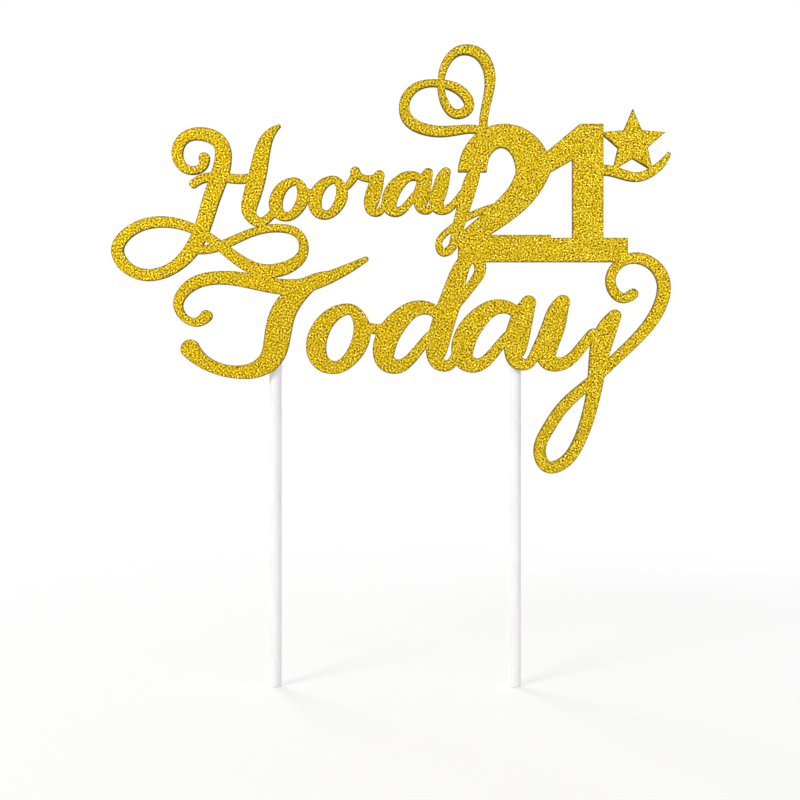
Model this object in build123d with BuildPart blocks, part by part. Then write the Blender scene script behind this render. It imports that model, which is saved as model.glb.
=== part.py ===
from build123d import *
import os
from math import cos, hypot, radians, sin

# Driving dimensions, millimetres
CARD_WIDTH = 176.0
CARD_HEIGHT = 135.0
BOARD_THICKNESS = 1.25
FILM_THICKNESS = 0.25
STICK_DIAMETER = 4.0
STICK_BURIED_LENGTH = 45.0
STICK_SHOWN_LENGTH = 53.5
STICK_LAP_LENGTH = 14.5
STICK_PRESS_RUN = 4.0
STICK_PRESSED_DEPTH = 3.6
STICK_TIP_CHAMFER = 0.4
LETTERING_CLEARANCE = 0.6
GLUE_LENGTH = 7.0
GLUE_LINE = 0.2
GLUE_WALL = 0.35
GLUE_COVER = 0.5
GLUE_CORNER_SHARE = 0.8

# The drawing sheet: squares counted to the right and down, so many to the card's width and height
SHEET_ACROSS_COUNT = 560
SHEET_DOWN_COUNT = 429
SHEET_BASELINE_SHARE = 374
PEN_ACROSS_SHARE = 0.6
LEFT_STICK_SHARE = 274.2
RIGHT_STICK_SHARE = 516

# Sizes that follow from the driving ones
SQUARE_ACROSS = CARD_WIDTH / SHEET_ACROSS_COUNT
SQUARE_DOWN = CARD_HEIGHT / SHEET_DOWN_COUNT
PEN_SQUARE = PEN_ACROSS_SHARE * SQUARE_ACROSS + (1 - PEN_ACROSS_SHARE) * SQUARE_DOWN
MIDDLE_SHARE = (LEFT_STICK_SHARE + RIGHT_STICK_SHARE) / 2
BASELINE_Z = STICK_SHOWN_LENGTH + LETTERING_CLEARANCE
STICK_RADIUS = STICK_DIAMETER / 2
STICK_PRESSED_WIDTH = 2 * STICK_DIAMETER - STICK_PRESSED_DEPTH
STICK_TOP_Z = STICK_SHOWN_LENGTH + STICK_LAP_LENGTH
PRESSED_FROM_Z = STICK_SHOWN_LENGTH + STICK_PRESS_RUN
LEFT_STICK_X = (LEFT_STICK_SHARE - MIDDLE_SHARE) * SQUARE_ACROSS
RIGHT_STICK_X = (RIGHT_STICK_SHARE - MIDDLE_SHARE) * SQUARE_ACROSS
GLUE_TOP_Z = STICK_TOP_Z + GLUE_COVER
GLUE_FROM_Z = GLUE_TOP_Z - GLUE_LENGTH
CARD_STANDOFF = STICK_PRESSED_DEPTH / 2 + GLUE_LINE
FILM_STANDOFF = CARD_STANDOFF + BOARD_THICKNESS

# Lower-case letters in shares of the x-height: across, up and pen width.
# Each stroke is one pen line, given as one or more spans
BOWL_SHARES = (
    ((0.97, 0.70, 0.13), (0.86, 0.89, 0.15), (0.65, 0.92, 0.19), (0.38, 0.75, 0.26), (0.17, 0.40, 0.29),
     (0.19, 0.16, 0.24), (0.35, 0.09, 0.18), (0.58, 0.24, 0.14), (0.86, 0.54, 0.13)),
)
A_STEM_SHARES = (
    ((1.11, 0.97, 0.19), (1.04, 0.82, 0.26), (0.97, 0.60, 0.30), (0.91, 0.32, 0.28), (0.94, 0.13, 0.18),
     (1.06, 0.09, 0.14), (1.20, 0.25, 0.13), (1.37, 0.53, 0.12)),
)
D_STEM_SHARES = (
    ((0.94, 0.66, 0.11), (1.20, 0.96, 0.12), (1.46, 1.28, 0.13), (1.55, 1.52, 0.15), (1.45, 1.66, 0.16)),
    ((1.30, 1.52, 0.20), (1.18, 1.20, 0.26), (1.07, 0.88, 0.29), (0.98, 0.60, 0.29), (0.91, 0.32, 0.27),
     (0.94, 0.13, 0.18), (1.06, 0.09, 0.14), (1.20, 0.25, 0.13), (1.32, 0.46, 0.12)),
)
O_RING_SHARES = (
    (0.60, 0.92, 0.14), (0.38, 0.83, 0.19), (0.20, 0.60, 0.24), (0.15, 0.34, 0.25), (0.25, 0.14, 0.20),
    (0.44, 0.09, 0.16), (0.66, 0.24, 0.19), (0.80, 0.52, 0.22), (0.77, 0.79, 0.18),
)
O_LINK_SHARES = (
    ((0.72, 0.84, 0.12), (0.84, 0.69, 0.12), (0.98, 0.63, 0.13), (1.22, 0.68, 0.12)),
)
R_ENTRY_SHARES = (
    ((-0.20, 0.84, 0.12), (-0.09, 0.72, 0.12), (0.06, 0.80, 0.13), (0.22, 1.08, 0.19)),
)
R_SHOULDER_SHARES = (
    ((0.23, 1.08, 0.16), (0.36, 0.95, 0.12), (0.53, 0.90, 0.12), (0.70, 0.92, 0.14)),
)
R_STEM_SHARES = (
    ((0.79, 0.97, 0.19), (0.72, 0.82, 0.26), (0.64, 0.58, 0.29), (0.56, 0.31, 0.27), (0.59, 0.13, 0.18),
     (0.71, 0.09, 0.14), (0.86, 0.25, 0.13), (1.00, 0.46, 0.12)),
)
Y_CUP_SHARES = (
    ((0.39, 0.97, 0.19), (0.32, 0.83, 0.26), (0.24, 0.58, 0.29), (0.15, 0.32, 0.28), (0.19, 0.13, 0.22),
     (0.35, 0.09, 0.17), (0.58, 0.24, 0.14), (0.82, 0.52, 0.13)),
)
Y_STEM_SHARES = (
    ((1.10, 0.97, 0.19), (1.03, 0.83, 0.26), (0.93, 0.58, 0.28), (0.80, 0.18, 0.26), (0.67, -0.22, 0.23),
     (0.55, -0.60, 0.19), (0.42, -0.86, 0.16)),
    ((0.24, -0.92, 0.15), (0.15, -0.74, 0.13), (0.36, -0.44, 0.12), (0.74, -0.18, 0.12), (1.20, 0.02, 0.12),
     (1.72, 0.14, 0.12)),
)
LETTER_A_SHARES = (BOWL_SHARES, A_STEM_SHARES)
LETTER_D_SHARES = (BOWL_SHARES, D_STEM_SHARES)
LETTER_R_SHARES = (R_ENTRY_SHARES, R_SHOULDER_SHARES, R_STEM_SHARES)
LETTER_Y_SHARES = (Y_CUP_SHARES, Y_STEM_SHARES)

# Capitals and flourishes in squares of the sheet: across, down and pen width
CAPITAL_H_SHARES = (
    (
        ((204, 158, 11), (199, 169, 8), (186, 169, 9), (177, 154, 11), (184, 138, 11), (203, 134, 13),
         (220, 143, 15)),
        ((222, 165, 17), (212, 196, 17), (204, 222, 16), (193, 247, 15), (172, 268, 12), (148, 275, 12)),
        ((126, 267, 12), (117, 250, 12), (130, 231, 11), (156, 222, 11)),
        ((186, 226, 10), (212, 240, 10), (237, 259, 12), (259, 270, 13), (285, 268, 13)),
        ((303, 252, 10), (300, 236, 9), (277, 228, 8), (250, 233, 8), (222, 245, 9), (198, 250, 8)),
    ),
    (
        ((279, 126, 3), (264, 145, 14), (259, 167, 17), (251, 198, 17), (250, 215, 13), (260, 222, 9),
         (271, 215, 8), (279, 205, 7)),
    ),
    (
        ((193, 184, 8), (210, 177, 9), (238, 179, 9), (260, 173, 9)),
    ),
)
CAPITAL_T_SHARES = (
    (
        ((326, 275, 8), (301, 290, 19), (283, 313, 25), (277, 338, 26), (272, 356, 23), (257, 369, 17),
         (234, 372, 13), (209, 365, 13), (190, 349, 19)),
    ),
    (
        ((206, 316, 12), (189, 321, 8), (178, 307, 9), (187, 288, 12), (214, 278, 13), (250, 281, 15)),
        ((290, 287, 15), (332, 276, 12), (366, 259, 5)),
    ),
)
LAST_STEM_SHARES = (
    (
        ((615, 316, 13), (610, 324, 18), (604, 337, 21), (599, 358, 19), (595, 387, 15), (588, 418, 13),
         (576, 448, 12), (562, 464, 12)),
        ((548, 467, 12), (540, 454, 12), (547, 431, 12), (565, 405, 12), (591, 382, 11), (618, 357, 11),
         (645, 330, 12), (661, 304, 13)),
        ((664, 282, 13), (654, 265, 12), (634, 258, 11), (617, 266, 10), (611, 283, 10), (620, 297, 10),
         (633, 294, 11)),
    ),
)
HEART_SHARES = (
    (
        ((485, 137, 9), (486, 106, 9), (490, 76, 11), (478, 53, 11), (458, 51, 9), (445, 65, 8),
         (441, 84, 7)),
        ((444, 101, 8), (457, 114, 9), (469, 107, 10)),
        ((465, 95, 10), (452, 86, 9), (436, 83, 7), (418, 86, 8), (405, 101, 10), (407, 118, 11),
         (424, 129, 11), (450, 131, 10), (472, 129, 8), (488, 134, 8)),
    ),
)
STAR_SWASH_SHARES = (
    (
        ((594, 172, 10), (616, 172, 10), (637, 177, 9), (656, 169, 9), (669, 154, 4)),
    ),
)

# Numerals and star in squares of the sheet: across and down
TWO_TOP_SHARE = (504.5, 172)
TWO_TOP_REACH_SHARES = (46.5, 48)
TWO_EYE_SHARE = (501.5, 172)
TWO_EYE_REACH_SHARES = (14.5, 24.5)
TWO_OUTER_SHARES = ((551, 172), (538, 204), (519, 216), (490, 235))
TWO_FOOT_SHARES = ((490, 235), (551, 235), (551, 262), (458, 262), (458, 235))
TWO_INNER_SHARES = ((458, 235), (510, 191), (509, 189), (516, 172))
TWO_END_SHARES = ((487, 172), (458, 172))
ONE_SHARES = (
    (544, 154), (580, 124), (603.5, 124), (603.5, 238), (628, 238), (628, 262), (549, 262), (549, 238),
    (572.5, 238), (572.5, 160), (544, 176),
)
STAR_MIDDLE_SHARE = (633, 143)
STAR_REACH_SHARES = (34, 15.5)
STAR_POINT_COUNT = 5

# Rows of lettering: x-height, weight of the pen, tilt in degrees and the start of each letter on its baseline
UPPER_X_HEIGHT_SHARE = 42
UPPER_WEIGHT_SHARE = 1.28
UPPER_TILT = 2.5
UPPER_START_SHARE = (270, 221)
LOWER_X_HEIGHT_SHARE = 70
LOWER_WEIGHT_SHARE = 1.14
LOWER_TILT = 0.8
LOWER_START_SHARE = (306, 374)
UPPER_O_STEP_SHARE = 0.93
UPPER_R_STEP_SHARE = 0.84
UPPER_A_STEP_SHARE = 1.14
LOWER_O_STEP_SHARE = 0.96
LOWER_D_STEP_SHARE = 1.125
LOWER_A_STEP_SHARE = 1.205
STEPS_PER_POINT = 4


def sheet_place(across, down):
    """A place on the drawing sheet, in millimetres to the right and up from the middle between the sticks."""
    x = (across - MIDDLE_SHARE) * SQUARE_ACROSS
    z = BASELINE_Z + (SHEET_BASELINE_SHARE - down) * SQUARE_DOWN
    return x, z


def on_row(points, start, x_height, weight, tilt, step):
    """Letter points in x-height shares, set on a tilted baseline, as sheet squares."""
    run = cos(radians(tilt))
    rise = sin(radians(tilt))
    placed = []
    for across, up, pen in points:
        right = start[0] + ((across + step) * run - up * rise) * x_height
        down = start[1] - (up * run + (across + step) * rise) * x_height
        placed.append((right, down, pen * weight * x_height))
    return placed


def upper(points, step):
    return on_row(points, UPPER_START_SHARE, UPPER_X_HEIGHT_SHARE, UPPER_WEIGHT_SHARE, UPPER_TILT, step)


def lower(points, step):
    return on_row(points, LOWER_START_SHARE, LOWER_X_HEIGHT_SHARE, LOWER_WEIGHT_SHARE, LOWER_TILT, step)


def letter(strokes, row, step):
    """All strokes of one letter in its row, as sheet squares."""
    return [[row(span, step) for span in stroke] for stroke in strokes]


def pen_line(points, closed):
    """A smooth line whose third coordinate carries the pen width."""
    line_points = []
    for across, down, pen in points:
        x, z = sheet_place(across, down)
        line_points.append((x, z, pen * PEN_SQUARE))
    with BuildLine(mode=Mode.PRIVATE) as pen_drawing:
        Spline(*line_points, periodic=closed)
    return pen_drawing.edge(), line_points


def pen_sides(line, at):
    """The left side, the right side, the end and the start of the pen at one place on its line."""
    place = line @ at
    way = line % at
    reach = place.Z / 2 / hypot(way.X, way.Y)
    ahead = (way.X * reach, way.Y * reach)
    left = (place.X - ahead[1], place.Y + ahead[0])
    right = (place.X + ahead[1], place.Y - ahead[0])
    end = (place.X + ahead[0], place.Y + ahead[1])
    start = (place.X - ahead[0], place.Y - ahead[1])
    return left, right, end, start


def stroke_faces(stroke):
    """Faces of one pen stroke: one to each span, round at the stroke's own two ends."""
    line, line_points = pen_line([point for span in stroke for point in span], False)
    faces = []
    begin = 0
    last = -1
    for span in stroke:
        last = last + len(span)
        finish = line.param_at_point(line_points[last])
        steps = STEPS_PER_POINT * len(span)
        sides = [pen_sides(line, begin + (finish - begin) * step / steps) for step in range(steps + 1)]
        left = [side[0] for side in sides]
        right = [side[1] for side in reversed(sides)]
        with BuildSketch(mode=Mode.PRIVATE) as drawn:
            with BuildLine():
                Spline(*left)
                if span is stroke[-1]:
                    ThreePointArc(left[-1], sides[-1][2], right[0])
                else:
                    Line(left[-1], right[0])
                Spline(*right)
                if span is stroke[0]:
                    ThreePointArc(right[-1], sides[0][3], left[0])
                else:
                    Line(right[-1], left[0])
            make_face()
        faces.append(drawn.face())
        begin = finish
    return faces


def ring_face(points):
    """The face of a closed pen stroke."""
    line = pen_line(points, True)[0]
    steps = STEPS_PER_POINT * len(points)
    sides = [pen_sides(line, step / steps) for step in range(steps)]
    with BuildSketch(mode=Mode.PRIVATE) as drawn:
        with BuildLine():
            Spline(*[side[1] for side in sides], periodic=True)
        make_face()
        with BuildLine():
            Spline(*[side[0] for side in sides], periodic=True)
        make_face(mode=Mode.SUBTRACT)
    return drawn.face()


def sheet_reach(reach):
    """Half-widths across and down the sheet, in millimetres."""
    return reach[0] * SQUARE_ACROSS, reach[1] * SQUARE_DOWN


def sheet_places(points):
    return [sheet_place(across, down) for across, down in points]


def star_places():
    """Corners of the star, points and notches in turn, starting at the top."""
    places = []
    for corner in range(2 * STAR_POINT_COUNT):
        turn = radians(180 * corner / STAR_POINT_COUNT)
        reach = STAR_REACH_SHARES[corner % 2]
        across = STAR_MIDDLE_SHARE[0] - reach * sin(turn)
        down = STAR_MIDDLE_SHARE[1] - reach * cos(turn)
        places.append(sheet_place(across, down))
    return places


def stick_body(middle):
    """A round paper stick whose glued end is pressed to an oval."""
    with BuildSketch(Plane.XY.offset(-STICK_BURIED_LENGTH)) as tip:
        with Locations((middle, 0)):
            Circle(STICK_RADIUS)
    with BuildSketch(Plane.XY.offset(STICK_SHOWN_LENGTH)) as free_end:
        with Locations((middle, 0)):
            Circle(STICK_RADIUS)
    with BuildSketch(Plane.XY.offset(PRESSED_FROM_Z)) as pressed:
        with Locations((middle, 0)):
            Ellipse(STICK_PRESSED_WIDTH / 2, STICK_PRESSED_DEPTH / 2)
    shaft = extrude(tip.sketch, amount=STICK_BURIED_LENGTH + STICK_SHOWN_LENGTH)
    chamfer(shaft.edges().group_by(Axis.Z)[0], STICK_TIP_CHAMFER)
    loft([free_end.sketch, pressed.sketch])
    extrude(pressed.sketch, amount=STICK_TOP_Z - PRESSED_FROM_Z)


def glue_body(middle, stick):
    """A bead of hot-melt glue on the back of the card, over the pressed end of a stick."""
    half_width = STICK_PRESSED_WIDTH / 2 + GLUE_WALL
    rise = STICK_PRESSED_DEPTH / 2 + GLUE_COVER
    with BuildSketch(Plane.XY.offset(GLUE_FROM_Z)) as section:
        with Locations((middle, 0)):
            Ellipse(half_width, rise)
        with Locations((middle, -CARD_STANDOFF)):
            Rectangle(2 * half_width, CARD_STANDOFF, align=(Align.CENTER, Align.MIN))
            Rectangle(2 * half_width, CARD_STANDOFF, align=(Align.CENTER, Align.MAX), mode=Mode.SUBTRACT)
    with BuildSketch(Plane.XZ.offset(CARD_STANDOFF)) as plan:
        with Locations((middle, (GLUE_TOP_Z + GLUE_FROM_Z) / 2)):
            RectangleRounded(2 * half_width, GLUE_LENGTH, half_width * GLUE_CORNER_SHARE)
    extrude(section.sketch, amount=GLUE_LENGTH)
    extrude(plan.sketch, amount=-CARD_STANDOFF - rise, mode=Mode.INTERSECT)
    add(stick, mode=Mode.SUBTRACT)


os.makedirs("parts", exist_ok=True)

# Lettering outline, drawn flat
upper_second_o = UPPER_O_STEP_SHARE
upper_r = upper_second_o + UPPER_O_STEP_SHARE
upper_a = upper_r + UPPER_R_STEP_SHARE
upper_y = upper_a + UPPER_A_STEP_SHARE
lower_d = LOWER_O_STEP_SHARE
lower_a = lower_d + LOWER_D_STEP_SHARE
lower_y = lower_a + LOWER_A_STEP_SHARE
strokes = [
    *CAPITAL_H_SHARES,
    *letter((O_LINK_SHARES,), upper, 0),
    *letter(LETTER_R_SHARES, upper, upper_r),
    *letter(LETTER_A_SHARES, upper, upper_a),
    *letter(LETTER_Y_SHARES, upper, upper_y),
    *CAPITAL_T_SHARES,
    *letter((O_LINK_SHARES,), lower, 0),
    *letter(LETTER_D_SHARES, lower, lower_d),
    *letter(LETTER_A_SHARES, lower, lower_a),
    *letter((Y_CUP_SHARES,), lower, lower_y),
    *LAST_STEM_SHARES,
    *HEART_SHARES,
    *STAR_SWASH_SHARES,
]
rings = [upper(O_RING_SHARES, 0), upper(O_RING_SHARES, upper_second_o), lower(O_RING_SHARES, 0)]
pen_faces = [face for stroke in strokes for face in stroke_faces(stroke)]
pen_faces.extend(ring_face(ring) for ring in rings)

with BuildSketch(mode=Mode.PRIVATE) as numerals:
    with BuildLine():
        EllipticalCenterArc(sheet_place(*TWO_TOP_SHARE), *sheet_reach(TWO_TOP_REACH_SHARES), 0, arc_size=180)
        Bezier(*sheet_places(TWO_OUTER_SHARES))
        Polyline(*sheet_places(TWO_FOOT_SHARES))
        Bezier(*sheet_places(TWO_INNER_SHARES))
        EllipticalCenterArc(sheet_place(*TWO_EYE_SHARE), *sheet_reach(TWO_EYE_REACH_SHARES), 0, arc_size=180)
        Line(*sheet_places(TWO_END_SHARES))
    make_face()
    with BuildLine():
        Polyline(*sheet_places(ONE_SHARES), close=True)
    make_face()
    with BuildLine():
        Polyline(*star_places(), close=True)
    make_face()

lettering_faces = [*numerals.faces(), *pen_faces]

# Board of the card
with BuildPart() as card_core:
    with BuildSketch(Plane.XZ.offset(CARD_STANDOFF)):
        add(lettering_faces)
    extrude(amount=BOARD_THICKNESS)
card_core.part.label = "card_core"
export_step(card_core.part, "parts/card_core.step")

# Glitter film on the front of the board
with BuildPart() as glitter_film:
    with BuildSketch(Plane.XZ.offset(FILM_STANDOFF)):
        add(lettering_faces)
    extrude(amount=FILM_THICKNESS)
glitter_film.part.label = "glitter_film"
export_step(glitter_film.part, "parts/glitter_film.step")

# Left stick
with BuildPart() as left_stick:
    stick_body(LEFT_STICK_X)
left_stick.part.label = "left_stick"
export_step(left_stick.part, "parts/left_stick.step")

# Right stick
with BuildPart() as right_stick:
    stick_body(RIGHT_STICK_X)
right_stick.part.label = "right_stick"
export_step(right_stick.part, "parts/right_stick.step")

# Glue on the left stick
with BuildPart() as left_glue:
    glue_body(LEFT_STICK_X, left_stick.part)
left_glue.part.label = "left_glue"
export_step(left_glue.part, "parts/left_glue.step")

# Glue on the right stick
with BuildPart() as right_glue:
    glue_body(RIGHT_STICK_X, right_stick.part)
right_glue.part.label = "right_glue"
export_step(right_glue.part, "parts/right_glue.step")
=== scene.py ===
import math
import random

import bmesh
import bpy
import numpy as np
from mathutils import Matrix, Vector, geometry, kdtree, noise


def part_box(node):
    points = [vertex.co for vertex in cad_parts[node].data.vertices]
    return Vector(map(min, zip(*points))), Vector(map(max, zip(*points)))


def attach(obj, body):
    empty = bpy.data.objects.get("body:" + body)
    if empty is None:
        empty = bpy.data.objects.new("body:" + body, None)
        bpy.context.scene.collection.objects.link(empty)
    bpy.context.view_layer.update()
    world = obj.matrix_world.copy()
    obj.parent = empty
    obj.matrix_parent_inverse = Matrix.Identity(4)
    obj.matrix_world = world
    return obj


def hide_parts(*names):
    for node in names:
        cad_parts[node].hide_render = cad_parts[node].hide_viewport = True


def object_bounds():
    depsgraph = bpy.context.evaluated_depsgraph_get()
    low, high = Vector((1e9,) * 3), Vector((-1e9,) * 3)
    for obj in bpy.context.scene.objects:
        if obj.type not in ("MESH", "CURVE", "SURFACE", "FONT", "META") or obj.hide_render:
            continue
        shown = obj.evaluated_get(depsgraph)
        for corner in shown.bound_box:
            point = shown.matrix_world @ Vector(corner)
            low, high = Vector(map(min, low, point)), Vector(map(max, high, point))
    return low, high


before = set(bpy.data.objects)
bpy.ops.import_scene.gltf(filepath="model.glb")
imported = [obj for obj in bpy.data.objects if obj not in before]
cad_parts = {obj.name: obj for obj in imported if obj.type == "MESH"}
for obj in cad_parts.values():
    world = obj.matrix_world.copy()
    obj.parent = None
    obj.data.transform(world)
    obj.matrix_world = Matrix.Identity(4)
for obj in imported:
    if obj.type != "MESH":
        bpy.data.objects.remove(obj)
cad_box = [[float(v) for v in corner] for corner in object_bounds()]

# Shapes are worked out in millimetres and written to the meshes in metres
MM = 0.001
MM_PER_M = 1000
rng = random.Random(21)


# Outline of the cut sheet

SAME_PLACE_DIGITS = 4
FACING_COSINE = 0.99
SHORTEST_STEP = 0.07
RIM_SAMPLE_STEP = 0.12
INSIDE_TRIANGLES = 1
MERGE_DISTANCE = 1e-5


def pairs_round(loop):
    """Each item of a closed loop with the one after it."""
    return zip(loop, loop[1:] + loop[:1])


def outline_loops(node, facing):
    """Closed loops of (x, z) round the faces of a flat sheet that face one way along Y."""
    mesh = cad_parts[node].data
    keys = {}
    places = []
    number = []
    for vertex in mesh.vertices:
        x, z = vertex.co.x / MM, vertex.co.z / MM
        key = (round(x, SAME_PLACE_DIGITS), round(z, SAME_PLACE_DIGITS))
        if key not in keys:
            keys[key] = len(places)
            places.append((x, z))
        number.append(keys[key])
    rim = set()
    for polygon in mesh.polygons:
        if polygon.normal.y * facing < FACING_COSINE:
            continue
        for a, b in pairs_round([number[v] for v in polygon.vertices]):
            if (b, a) in rim:
                rim.discard((b, a))
            elif a != b:
                rim.add((a, b))
    after = {}
    for a, b in sorted(rim):
        after.setdefault(a, []).append(b)

    def step_from(a):
        b = after[a].pop()
        if not after[a]:
            del after[a]
        return b

    loops = []
    while after:
        start = next(iter(after))
        loop = [start]
        here = step_from(start)
        while here != start:
            loop.append(here)
            here = step_from(here)
        loops.append([places[i] for i in loop])
    return loops


def signed_area(loop):
    return sum(xa * zb - xb * za for (xa, za), (xb, zb) in pairs_round(loop)) / 2


def even_loop(loop, longest):
    """The same loop without very short steps and with long steps divided, turning left."""
    if signed_area(loop) < 0:
        loop = loop[::-1]
    kept = [loop[0]]
    for point in loop[1:]:
        if math.dist(point, kept[-1]) >= SHORTEST_STEP:
            kept.append(point)
    while len(kept) > 3 and math.dist(kept[-1], kept[0]) < SHORTEST_STEP:
        kept.pop()
    divided = []
    for a, b in pairs_round(kept):
        steps = max(1, math.ceil(math.dist(a, b) / longest))
        for i in range(steps):
            t = i / steps
            divided.append((a[0] + (b[0] - a[0]) * t, a[1] + (b[1] - a[1]) * t))
    return divided


class Sheet:
    """The flat outline of the card, outer loop first, with tests for what lies inside it."""

    def __init__(self, loops, longest):
        even = (even_loop(loop, longest) for loop in loops)
        self.loops = sorted(even, key=signed_area, reverse=True)
        starts = np.array([p for loop in self.loops for p in loop])
        ends = np.array([p for loop in self.loops for p in loop[1:] + loop[:1]])
        self.xa, self.za = starts[:, 0], starts[:, 1]
        self.xb, self.zb = ends[:, 0], ends[:, 1]
        samples = []
        for a, b in zip(starts, ends):
            steps = max(1, math.ceil(math.dist(a, b) / RIM_SAMPLE_STEP))
            samples.extend(a + (b - a) * i / steps for i in range(steps))
        self.tree = kdtree.KDTree(len(samples))
        for i, (x, z) in enumerate(samples):
            self.tree.insert((x, z, 0), i)
        self.tree.balance()

    def rim_distance(self, x, z):
        return self.tree.find((x, z, 0))[2]

    def crossings(self, z):
        hit = (self.za > z) != (self.zb > z)
        t = (z - self.za[hit]) / (self.zb[hit] - self.za[hit])
        return np.sort(self.xa[hit] + t * (self.xb[hit] - self.xa[hit]))

    def inner_points(self, spacing, jitter, margin):
        """A shaken triangular grid of points inside the outline, clear of its rim."""
        points = []
        low, high = self.za.min(), self.za.max()
        rise = spacing * math.sqrt(3) / 2
        row = 0
        z = low
        while z < high:
            cuts = self.crossings(z)
            for left, right in zip(cuts[0::2], cuts[1::2]):
                first = math.ceil(left / spacing - row % 2 / 2)
                x = (first + row % 2 / 2) * spacing
                while x < right:
                    px = x + rng.uniform(-jitter, jitter) * spacing
                    pz = z + rng.uniform(-jitter, jitter) * spacing
                    between = left + margin < px < right - margin
                    if between and self.rim_distance(px, pz) > margin:
                        points.append((px, pz))
                    x += spacing
            z += rise
            row += 1
        return points

    def fill(self, inner):
        """Triangles over the sheet: all points, the triangles, and each rim as point numbers."""
        points = []
        rims = []
        for loop in self.loops:
            rims.append(list(range(len(points), len(points) + len(loop))))
            points.extend(loop)
        points.extend(inner)
        flat = [Vector(p) for p in points]
        out, _, faces, sources, _, owners = geometry.delaunay_2d_cdt(
            flat, [], rims, INSIDE_TRIANGLES, MERGE_DISTANCE)
        place = {}
        for number, source in enumerate(sources):
            for s in source:
                place[s] = number
        # A triangle of the outer loop alone is card, and one that a second loop holds too is a gap
        kept = [tuple(f) for f, o in zip(faces, owners) if list(o) == [0]]
        placed_rims = []
        for rim in rims:
            placed = []
            for i in rim:
                if not placed or place[i] != placed[-1]:
                    placed.append(place[i])
            if placed[0] == placed[-1]:
                placed.pop()
            placed_rims.append(placed)
        return [tuple(p) for p in out], kept, placed_rims

    def far_side(self, rims, numbers):
        """Triangles of the plain far side, between the rim points that the numbers give."""
        _, triangles, flat_rims = self.fill([])
        far = {}
        for rim, flat_rim in zip(rims, flat_rims):
            for i, j in zip(rim, flat_rim):
                far[j] = numbers[i]
        return [tuple(far[i] for i in triangle) for triangle in triangles]


def new_piece(name, verts, faces, node):
    mesh = bpy.data.meshes.new(name)
    mesh.from_pydata([Vector(v) * MM for v in verts], [], faces)
    shape = bmesh.new()
    shape.from_mesh(mesh)
    bmesh.ops.recalc_face_normals(shape, faces=shape.faces)
    shape.to_mesh(mesh)
    shape.free()
    piece = bpy.data.objects.new(name, mesh)
    bpy.context.scene.collection.objects.link(piece)
    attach(piece, "root")
    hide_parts(node)
    return piece


def shade_smooth(mesh, sharp_degrees):
    for polygon in mesh.polygons:
        polygon.use_smooth = True
    mesh.set_sharp_from_angle(angle=math.radians(sharp_degrees))


def point_values(mesh, name, values):
    mesh.attributes.new(name, "FLOAT", "POINT").data.foreach_set("value", values)


# Material helpers

def srgb(r, g, b):
    """A colour given in 0 to 255 display values, as linear RGBA."""
    out = []
    for v in (r, g, b):
        v /= 255
        out.append(v / 12.92 if v <= 0.04045 else ((v + 0.055) / 1.055) ** 2.4)
    return (*out, 1)


class Nodes:
    """A short way to write a material's nodes."""

    def __init__(self, name):
        self.material = bpy.data.materials.new(name)
        self.material.use_nodes = True
        self.tree = self.material.node_tree
        self.shader = self.tree.nodes["Principled BSDF"]

    def add(self, kind, **settings):
        node = self.tree.nodes.new("ShaderNode" + kind)
        for key, value in settings.items():
            if hasattr(node, key):
                setattr(node, key, value)
            else:
                node.inputs[key].default_value = value
        return node

    def link(self, source, target):
        self.tree.links.new(source, target)

    def feed(self, values, sockets):
        """Links each value that is a socket, and writes each other value as a constant."""
        for value, socket in zip(values, sockets):
            if isinstance(value, bpy.types.NodeSocket):
                self.link(value, socket)
            else:
                socket.default_value = value

    def set(self, **values):
        for key, value in values.items():
            self.shader.inputs[key.replace("_", " ")].default_value = value

    def colour(self, tone):
        self.link(tone, self.shader.inputs["Base Color"])

    def ramp(self, factor, stops):
        node = self.add("ValToRGB")
        band = node.color_ramp
        while len(band.elements) < len(stops):
            band.elements.new(0.5)
        for element, (at, colour) in zip(band.elements, stops):
            element.position = at
            element.color = colour
        self.link(factor, node.inputs["Fac"])
        return node.outputs["Color"]

    def mix(self, factor, a, b):
        """Blends two colours. The colour sockets of the node are numbers 6, 7 and, out, 2."""
        node = self.add("Mix", data_type="RGBA")
        self.feed((factor, a, b), (node.inputs[0], node.inputs[6], node.inputs[7]))
        return node.outputs[2]

    def math(self, operation, *values, kind="Math"):
        node = self.add(kind, operation=operation)
        self.feed(values, node.inputs)
        return node.outputs[0]

    def vector(self, operation, *values):
        return self.math(operation, *values, kind="VectorMath")

    def blend(self, a, a_share, b, b_share):
        """The sum of two values, each times its share."""
        parts = (self.math("MULTIPLY", a, a_share), self.math("MULTIPLY", b, b_share))
        return self.math("ADD", *parts)

    def place(self, scale=(1, 1, 1)):
        """Object coordinates in millimetres, stretched by a scale."""
        where = self.add("TexCoord")
        mapping = self.add("Mapping", Scale=[MM_PER_M * s for s in scale])
        self.link(where.outputs["Object"], mapping.inputs["Vector"])
        return mapping.outputs["Vector"]

    def noise(self, vector, scale, detail):
        node = self.add("TexNoise", Scale=scale, Detail=detail)
        self.link(vector, node.inputs["Vector"])
        return node.outputs["Fac"]

    def attribute(self, name):
        return self.add("Attribute", attribute_name=name).outputs["Fac"]

    def bump(self, height, strength, distance_mm):
        node = self.add("Bump", Strength=strength, Distance=distance_mm * MM)
        self.link(height, node.inputs["Height"])
        self.link(node.outputs["Normal"], self.shader.inputs["Normal"])


# Materials

FLAKE_SIZE = 0.16
FLAKE_SHARE = 0.5
FLAKE_LEAN = 0.6
CLUMP_SHARE = 0.95
CLUMP_OFFSET = -0.22
# Painted shade: how far the gold is darkened toward the cut rim
RIM_PAINTED_SHADE = 0.85


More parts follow.
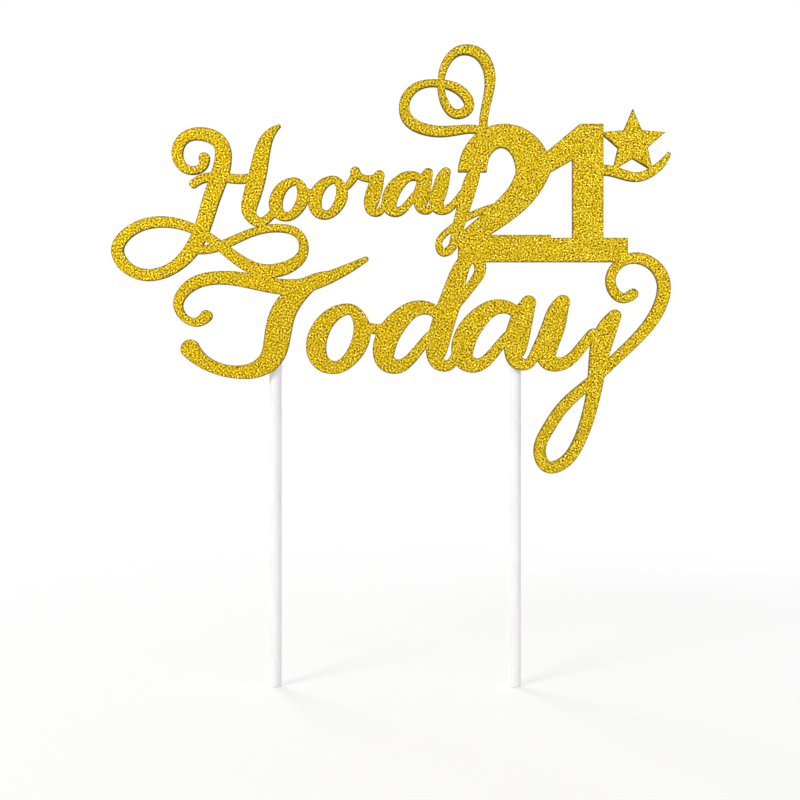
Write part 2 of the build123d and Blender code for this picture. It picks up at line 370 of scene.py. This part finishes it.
def glitter_material():
    """Gold glitter: fine flakes of many tones in small clumps, each flake leaning its own way,
    with painted shade darkening the gold along the cut rim.
    """
    n = Nodes("gold_glitter")
    flakes = n.add("TexVoronoi", Scale=1 / FLAKE_SIZE)
    n.link(n.place(), flakes.inputs["Vector"])
    chance = n.add("SeparateColor")
    n.link(flakes.outputs["Color"], chance.inputs["Color"])
    clump = n.add("TexGabor", Scale=0.7, Frequency=1.5, Anisotropy=0.0)
    across = n.add("Mapping", Rotation=(math.pi / 2, 0, 0))
    n.link(n.place(), across.inputs["Vector"])
    n.link(across.outputs["Vector"], clump.inputs["Vector"])
    patch = n.math("MULTIPLY_ADD", clump.outputs["Value"], CLUMP_SHARE, CLUMP_OFFSET)
    spread = n.math("MULTIPLY_ADD", chance.outputs["Red"], FLAKE_SHARE, patch)
    tone = n.ramp(spread, [
        (0.14, srgb(32, 16, 0)),
        (0.29, srgb(106, 74, 0)),
        (0.48, srgb(200, 163, 14)),
        (0.68, srgb(246, 212, 38)),
        (0.86, srgb(255, 238, 96)),
        (0.95, srgb(255, 250, 206)),
    ])
    # Painted shade: the rim attribute mixes the gold toward a dark brown along the cut
    shade = n.math("MULTIPLY", n.attribute("rim"), RIM_PAINTED_SHADE)
    n.colour(n.mix(shade, tone, srgb(92, 68, 4)))
    lean = n.vector("SCALE", n.vector("SUBTRACT", flakes.outputs["Color"], (0.5, 0.5, 0.5)))
    lean.node.inputs["Scale"].default_value = FLAKE_LEAN
    upright = n.add("NewGeometry").outputs["Normal"]
    n.link(n.vector("NORMALIZE", n.vector("ADD", upright, lean)), n.shader.inputs["Normal"])
    n.set(Metallic=1.0, Roughness=0.28)
    return n.material


def scorched_material():
    """The cut edge: board browned by the laser, with streaks through the thickness."""
    n = Nodes("scorched_edge")
    streak = n.noise(n.place((1, 0.08, 1)), 2.4, 3.0)
    soft = n.noise(n.place(), 0.22, 2.0)
    n.colour(n.ramp(n.blend(streak, 0.6, soft, 0.4), [
        (0.25, srgb(62, 43, 6)),
        (0.55, srgb(106, 78, 14)),
        (0.80, srgb(146, 112, 30)),
    ]))
    n.set(Roughness=0.85)
    n.bump(streak, 0.5, 0.08)
    return n.material


def board_material():
    """Back of the card: uncoated warm white board, browned along the cut."""
    n = Nodes("card_board")
    where = n.place()
    fibre = n.noise(n.place((1, 1, 0.25)), 3.0, 4.0)
    cloud = n.noise(where, 0.08, 2.0)
    paper = n.ramp(n.blend(fibre, 0.5, cloud, 0.5), [
        (0.30, srgb(222, 216, 202)),
        (0.55, srgb(233, 228, 216)),
        (0.75, srgb(242, 238, 228)),
    ])
    smoke = n.noise(where, 0.5, 3.0)
    burn = n.math("MULTIPLY", n.attribute("rim"), n.math("MULTIPLY_ADD", smoke, 1.1, 0.5))
    n.colour(n.mix(n.math("MINIMUM", burn, 1.0), paper, srgb(122, 84, 40)))
    n.set(Roughness=0.82)
    n.bump(fibre, 0.25, 0.05)
    return n.material


def stick_material():
    """Rolled white paper: fine fibres along the stick, a faint seam line, and painted shade
    greying the grooves and the bore at the ends.
    """
    n = Nodes("rolled_paper")
    fibre = n.noise(n.place((1, 1, 0.06)), 5.0, 4.0)
    cloud = n.noise(n.place((1, 1, 0.3)), 0.35, 2.0)
    tone = n.ramp(n.blend(fibre, 0.5, cloud, 0.5), [
        (0.30, srgb(238, 238, 236)),
        (0.50, srgb(246, 246, 245)),
        (0.70, srgb(251, 251, 250)),
    ])
    # Grey along the seam line, and painted shade in the end grooves and the bore
    n.colour(n.mix(n.attribute("seam_and_groove_shade"), tone, srgb(196, 192, 184)))
    n.set(Roughness=0.62)
    n.bump(fibre, 0.2, 0.04)
    return n.material


def glue_material():
    """Hot-melt glue: milky and slightly glossy."""
    n = Nodes("hot_melt")
    cloud = n.noise(n.place(), 0.6, 3.0)
    n.colour(n.ramp(cloud, [(0.3, srgb(243, 237, 219)), (0.7, srgb(252, 250, 241))]))
    n.set(Roughness=0.22, Transmission_Weight=0.2, IOR=1.48)
    n.set(Subsurface_Weight=0.6, Subsurface_Scale=0.0015, Subsurface_Radius=(1.0, 0.95, 0.85))
    n.bump(cloud, 0.15, 0.1)
    return n.material


glitter = glitter_material()
scorched = scorched_material()
board = board_material()
paper = stick_material()
melt = glue_material()


# Glitter film: a closed sheet with a faceted front

film_low, film_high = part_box("glitter_film")
FILM_FRONT = film_low.y / MM
FILM_BACK = film_high.y / MM
FILM_RIM_STEP = 0.4
FACET = 0.40
FACET_JITTER = 0.3
FACET_MARGIN = 0.22
FACET_RELIEF = 0.05
FRONT_CLEARANCE = 0.002
RIM_RELIEF = (0.35, 0.65)

sheet = Sheet(outline_loops("glitter_film", -1), FILM_RIM_STEP)
inner = sheet.inner_points(FACET, FACET_JITTER, FACET_MARGIN)
points, triangles, rims = sheet.fill(inner)
on_rim = {i for rim in rims for i in rim}
verts = []
for i, (x, z) in enumerate(points):
    relief = rng.uniform(*RIM_RELIEF) if i in on_rim else rng.random()
    verts.append((x, FILM_FRONT + FRONT_CLEARANCE + FACET_RELIEF * relief, z))
faces = list(triangles)
front_count = len(faces)
back_of = {}
for rim in rims:
    for i in rim:
        back_of[i] = len(verts)
        verts.append((points[i][0], FILM_BACK, points[i][1]))
for rim in rims:
    for a, b in pairs_round(rim):
        faces.append((a, back_of[a], back_of[b], b))
faces.extend((a, c, b) for a, b, c in sheet.far_side(rims, back_of))
film = new_piece("glitter_face", verts, faces, "glitter_film")
film.data.materials.append(glitter)
film.data.materials.append(scorched)
for polygon in film.data.polygons:
    if polygon.index >= front_count:
        polygon.material_index = 1
# The rim values set where painted shade darkens the gold front
point_values(film.data, "rim", [
    1.0 if i in on_rim or i >= len(points) else 0.0 for i in range(len(verts))])


# Board of the card

core_low, core_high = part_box("card_core")
CORE_FRONT = core_low.y / MM
CORE_BACK = core_high.y / MM
CORE_RIM_STEP = 0.6
BACK_SPACING = 0.9
BACK_JITTER = 0.2
BACK_MARGIN = 0.3
WALL_ROWS = 3
BURN_REACH = 1.3
BOARD_SHARP_DEGREES = 35

back_sheet = Sheet(outline_loops("card_core", 1), CORE_RIM_STEP)
inner = back_sheet.inner_points(BACK_SPACING, BACK_JITTER, BACK_MARGIN)
points, triangles, rims = back_sheet.fill(inner)
verts = [(x, CORE_BACK, z) for x, z in points]
faces = [(a, c, b) for a, b, c in triangles]
back_count = len(faces)
rows = [{i: i for rim in rims for i in rim}]
for row in range(1, WALL_ROWS + 1):
    y = CORE_BACK + (CORE_FRONT - CORE_BACK) * row / WALL_ROWS
    numbers = {}
    for i in rows[0]:
        numbers[i] = len(verts)
        verts.append((points[i][0], y, points[i][1]))
    rows.append(numbers)
for near, far in zip(rows, rows[1:]):
    for rim in rims:
        for a, b in pairs_round(rim):
            faces.append((far[a], near[a], near[b], far[b]))
faces.extend(back_sheet.far_side(rims, rows[-1]))
core = new_piece("card_board", verts, faces, "card_core")
core.data.materials.append(board)
core.data.materials.append(scorched)
for polygon in core.data.polygons:
    if polygon.index >= back_count:
        polygon.material_index = 1
shade_smooth(core.data, BOARD_SHARP_DEGREES)
burn = [max(0.0, 1.0 - back_sheet.rim_distance(x, z) / BURN_REACH) ** 2 for x, z in points]
burn += [1.0] * (len(verts) - len(points))
point_values(core.data, "rim", burn)


# Sticks

STICK_RADIUS = 2.0
PRESSED_BY = 0.2
ROUND_UP_TO = 53.5
PRESSED_FROM = 57.5
STICK_SIDES = 96
STICK_TWIST = 0.012
STICK_WAVER = 0.012
STICK_SHARP_DEGREES = 40
PLY = 0.46
PLY_LIP = 0.05
SEAM_AT = 0.25
SEAM_SIDES = (STICK_SIDES // 4, STICK_SIDES // 4 - 1)
SEAM_TONE = 0.55

# Rounded ends: how far from the end, and how far in from the side
LOWER_EDGE = ((0.0, 0.30), (0.06, 0.14), (0.18, 0.04), (0.4, 0.0))
UPPER_EDGE = ((0.25, 0.0), (0.08, 0.06), (0.0, 0.18))
FIRST_RING = 2.0
LAST_RING = 0.4
RING_STEP = 1.6
FINE_RING_STEP = 0.8
FINE_FROM = 50

# Ends of the rolled layers
END_RINGS = 22
GROOVE_SHARE = 0.2
GROOVE_DEPTH = 0.10
# Painted shade: how grey the end grooves are made
GROOVE_PAINTED_SHADE = 0.9
BORE_RADIUS = 0.22
BORE_GROOVES = 2.0


def stick_radii(z):
    """Half-widths across X and Y at a height: round below, and an oval where the glue holds it."""
    t = min(1.0, max(0.0, (z - ROUND_UP_TO) / (PRESSED_FROM - ROUND_UP_TO)))
    t = t * t * (3 - 2 * t)
    return STICK_RADIUS + PRESSED_BY * t, STICK_RADIUS - PRESSED_BY * t


def stick_section(middle, z, inset, seam_turn):
    """One ring round a stick, which steps down by a lip at the seam of its outer layer."""
    wide, deep = stick_radii(z)
    ring = []
    for k in range(STICK_SIDES):
        layer = PLY_LIP * ((k / STICK_SIDES - SEAM_AT) % 1.0)
        angle = 2 * math.pi * k / STICK_SIDES + seam_turn + z * STICK_TWIST
        x = middle + (wide - inset - layer) * math.cos(angle)
        ring.append((x, (deep - inset - layer) * math.sin(angle), z))
    return ring


def stick_piece(name, node, seam_turn):
    low, high = (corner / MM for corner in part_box(node))
    middle = (low.x + high.x) / 2
    heights = [(low.z + up, inset) for up, inset in LOWER_EDGE]
    z = low.z + FIRST_RING
    while z < high.z - LAST_RING:
        waver = STICK_WAVER * noise.noise((middle * 0.1, z * 0.12, 3.0)) + STICK_WAVER
        heights.append((z, waver))
        z += RING_STEP if z < FINE_FROM else FINE_RING_STEP
    heights += [(high.z - down, inset) for down, inset in UPPER_EDGE]
    verts = []
    faces = []
    seam_and_groove_shade = []
    for z, inset in heights:
        verts.extend(stick_section(middle, z, inset, seam_turn))
        seam_and_groove_shade.extend(SEAM_TONE if k in SEAM_SIDES else 0.0 for k in range(STICK_SIDES))
    for row in range(len(heights) - 1):
        for k in range(STICK_SIDES):
            a = row * STICK_SIDES + k
            b = row * STICK_SIDES + (k + 1) % STICK_SIDES
            faces.append((a, b, b + STICK_SIDES, a + STICK_SIDES))
    for end, way in ((0, 1), (len(heights) - 1, -1)):
        z, inset = heights[end]
        wide, _ = stick_radii(z)
        rim = [end * STICK_SIDES + k for k in range(STICK_SIDES)]
        outer = rim
        for step in range(1, END_RINGS + 1):
            share = 1 - step / (END_RINGS + 1)
            radius = share * (wide - inset)
            ring = []
            for k in range(STICK_SIDES):
                x = middle + (verts[rim[k]][0] - middle) * share
                y = verts[rim[k]][1] * share
                gap = (radius / PLY - k / STICK_SIDES) % 1.0
                groove = 1.0 if gap < GROOVE_SHARE else 0.0
                if radius < BORE_RADIUS:
                    groove = BORE_GROOVES
                ring.append(len(verts))
                verts.append((x, y, z + way * GROOVE_DEPTH * groove))
                # Painted shade: the grooves and the bore are greyed as if in shadow
                seam_and_groove_shade.append(min(1.0, GROOVE_PAINTED_SHADE * groove))
            for k in range(STICK_SIDES):
                m = (k + 1) % STICK_SIDES
                face = (outer[k], ring[k], ring[m], outer[m])
                faces.append(face if way > 0 else face[::-1])
            outer = ring
        tip = len(verts)
        verts.append((middle, 0, z + way * GROOVE_DEPTH * BORE_GROOVES))
        # Painted shade: the middle of the bore is greyed fully
        seam_and_groove_shade.append(1.0)
        for k in range(STICK_SIDES):
            face = (outer[k], tip, outer[(k + 1) % STICK_SIDES])
            faces.append(face if way > 0 else face[::-1])
    stick = new_piece(name, verts, faces, node)
    shade_smooth(stick.data, STICK_SHARP_DEGREES)
    point_values(stick.data, "seam_and_groove_shade", seam_and_groove_shade)
    stick.data.materials.append(paper)


stick_piece("stick_left", "left_stick", 0.35)
stick_piece("stick_right", "right_stick", -0.2)


# Glue beads

BEAD_ROWS = 40
BEAD_STEPS = 48
BEAD_EXTRA = 0.2
BEAD_CLEARANCE = 0.12
BEAD_END_POWER = 4.2
BEAD_SIDE_POWER = 0.77
BEAD_SHARP_DEGREES = 50
FOOT_SPREAD = 0.35
FOOT_HEIGHT = 1.1
LUMP = 0.14
LUMP_SWELL = 0.7
LUMP_SCALE = 0.5
LUMP_SCALE_ALONG = 2.2
NO_SIDE = 1e-6


def glue_piece(name, node, seed):
    low, high = (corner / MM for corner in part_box(node))
    middle = (low.x + high.x) / 2
    centre = (low.z + high.z) / 2
    half = (high.z - low.z) / 2 + BEAD_EXTRA
    width = (high.x - low.x) / 2
    height = high.y - low.y
    verts = [(middle, low.y, centre - half), (middle, low.y, centre + half)]
    faces = []
    for row in range(1, BEAD_ROWS):
        t = -math.cos(math.pi * row / BEAD_ROWS)
        size = max(0.0, 1 - abs(t) ** BEAD_END_POWER) ** (1 / BEAD_END_POWER)
        for k in range(BEAD_STEPS + 1):
            turn = math.pi * k / BEAD_STEPS
            c, s = math.cos(turn), math.sin(turn)
            x = width * math.copysign(abs(c) ** BEAD_SIDE_POWER, c)
            y = (height - BEAD_CLEARANCE) * abs(s) ** BEAD_SIDE_POWER
            foot = FOOT_SPREAD * (1 - min(1.0, y / FOOT_HEIGHT)) ** 2
            x += math.copysign(foot, c) if abs(c) > NO_SIDE else 0.0
            where = (x * LUMP_SCALE + seed, y * LUMP_SCALE, t * LUMP_SCALE_ALONG + seed)
            lump = LUMP * noise.noise(where)
            scale = size * (1 + lump * LUMP_SWELL)
            along = centre + half * t + lump * (1 - abs(t))
            verts.append((middle + x * scale, low.y + min(y * scale, height), along))
    span = BEAD_STEPS + 1
    last = len(verts) - span
    for k in range(span):
        after = (k + 1) % span
        faces.append((0, 2 + k, 2 + after))
        faces.append((1, last + after, last + k))
        for a in range(2, last, span):
            faces.append((a + k, a + span + k, a + span + after, a + after))
    bead = new_piece(name, verts, faces, node)
    bead.data.materials.append(melt)
    shade_smooth(bead.data, BEAD_SHARP_DEGREES)


glue_piece("glue_left", "left_glue", 1.7)
glue_piece("glue_right", "right_glue", 6.3)


# Floor and surroundings, in metres

FLOOR_REACH = 6.0
FADE_REACH = 0.34
WHITE = (1, 1, 1, 1)
WORLD_TINT = (1.0, 0.995, 0.985, 1)
WORLD_STRENGTH = 0.50


def light_path_factor(tree):
    """One for what is seen straight, in gloss or through glass, nought for light on the object."""
    path = tree.nodes.new("ShaderNodeLightPath")
    seen = path.outputs["Is Camera Ray"]
    for ray in ("Is Glossy Ray", "Is Transmission Ray"):
        either = tree.nodes.new("ShaderNodeMath")
        either.operation = "MAXIMUM"
        tree.links.new(seen, either.inputs[0])
        tree.links.new(path.outputs[ray], either.inputs[1])
        seen = either.outputs[0]
    return seen


floor_mesh = bpy.data.meshes.new("floor")
floor_z = cad_box[0][2]
floor_corners = [(x * FLOOR_REACH, y * FLOOR_REACH, floor_z)
                 for x, y in ((-1, -1), (1, -1), (1, 1), (-1, 1))]
floor_mesh.from_pydata(floor_corners, [], [(0, 1, 2, 3)])
floor = bpy.data.objects.new("floor", floor_mesh)
bpy.context.scene.collection.objects.link(floor)

# The floor keeps the object's shadow and fades to white away from it
pale = Nodes("pale_floor")
pale.set(Base_Color=(0.96, 0.96, 0.96, 1), Roughness=0.9, Specular_IOR_Level=0.1)
lift = pale.add("Emission", Color=WHITE, Strength=1.0)
spread = pale.add("TexGradient", gradient_type="SPHERICAL")
reach = pale.add("Mapping", Location=(0, 0, -floor_z / FADE_REACH), Scale=[1 / FADE_REACH] * 3)
pale.link(pale.add("TexCoord").outputs["Object"], reach.inputs["Vector"])
pale.link(reach.outputs["Vector"], spread.inputs["Vector"])
fade = pale.ramp(spread.outputs["Fac"], [(0.0, WHITE), (0.75, (0.5, 0.5, 0.5, 1))])
both = pale.add("MixShader")
pale.link(pale.math("MULTIPLY", light_path_factor(pale.tree), fade), both.inputs[0])
pale.link(pale.shader.outputs[0], both.inputs[1])
pale.link(lift.outputs[0], both.inputs[2])
pale.link(both.outputs[0], pale.tree.nodes["Material Output"].inputs["Surface"])
floor_mesh.materials.append(pale.material)

world = bpy.data.worlds.new("studio")
bpy.context.scene.world = world
world.use_nodes = True
tree = world.node_tree
soft = tree.nodes["Background"]
soft.inputs["Color"].default_value = WORLD_TINT
soft.inputs["Strength"].default_value = WORLD_STRENGTH
white = tree.nodes.new("ShaderNodeBackground")
white.inputs["Color"].default_value = WHITE
white.inputs["Strength"].default_value = 1.0
choose = tree.nodes.new("ShaderNodeMixShader")
tree.links.new(light_path_factor(tree), choose.inputs[0])
tree.links.new(soft.outputs[0], choose.inputs[1])
tree.links.new(white.outputs[0], choose.inputs[2])
tree.links.new(choose.outputs[0], tree.nodes["World Output"].inputs["Surface"])


# Lamps, in metres

LAMP_AIM = (0, 0, 0.06)


def soft_lamp(name, place, size, watts):
    lamp = bpy.data.lights.new(name, "AREA")
    lamp.shape = "SQUARE"
    lamp.size = size
    lamp.energy = watts
    holder = bpy.data.objects.new(name, lamp)
    bpy.context.scene.collection.objects.link(holder)
    holder.location = place
    holder.rotation_euler = (Vector(LAMP_AIM) - Vector(place)).to_track_quat("-Z", "Y").to_euler()


soft_lamp("key", place=(-1.45, -1.55, 1.4), size=0.8, watts=26.0)
soft_lamp("front_fill", place=(1.5, -1.6, 1.0), size=0.8, watts=5.5)
soft_lamp("back_fill", place=(-1.2, 1.7, 1.2), size=1.0, watts=25.0)


# Camera, level with the middle of the frame and square to the card

IMAGE_PIXELS = 800
CARD_WIDTH = 176.0
CARD_WIDTH_PIXELS = 560
PIXEL = CARD_WIDTH / CARD_WIDTH_PIXELS * MM
CAMERA_RIGHT_PIXELS = 4.9
CAMERA_HEIGHT = 45.9178
CAMERA_DISTANCE = 0.32
SENSOR_WIDTH = 36

camera_data = bpy.data.cameras.new("camera")
camera = bpy.data.objects.new("camera", camera_data)
bpy.context.scene.collection.objects.link(camera)
bpy.context.scene.camera = camera
camera_data.sensor_width = SENSOR_WIDTH
camera_data.sensor_fit = "HORIZONTAL"
camera_data.lens = SENSOR_WIDTH * CAMERA_DISTANCE / (IMAGE_PIXELS * PIXEL)
camera_data.clip_start = 0.01
camera.location = (CAMERA_RIGHT_PIXELS * PIXEL, film_low.y - CAMERA_DISTANCE, CAMERA_HEIGHT * MM)
camera.rotation_euler = (math.pi / 2, 0, 0)

bpy.context.scene.view_settings.view_transform = "Standard"
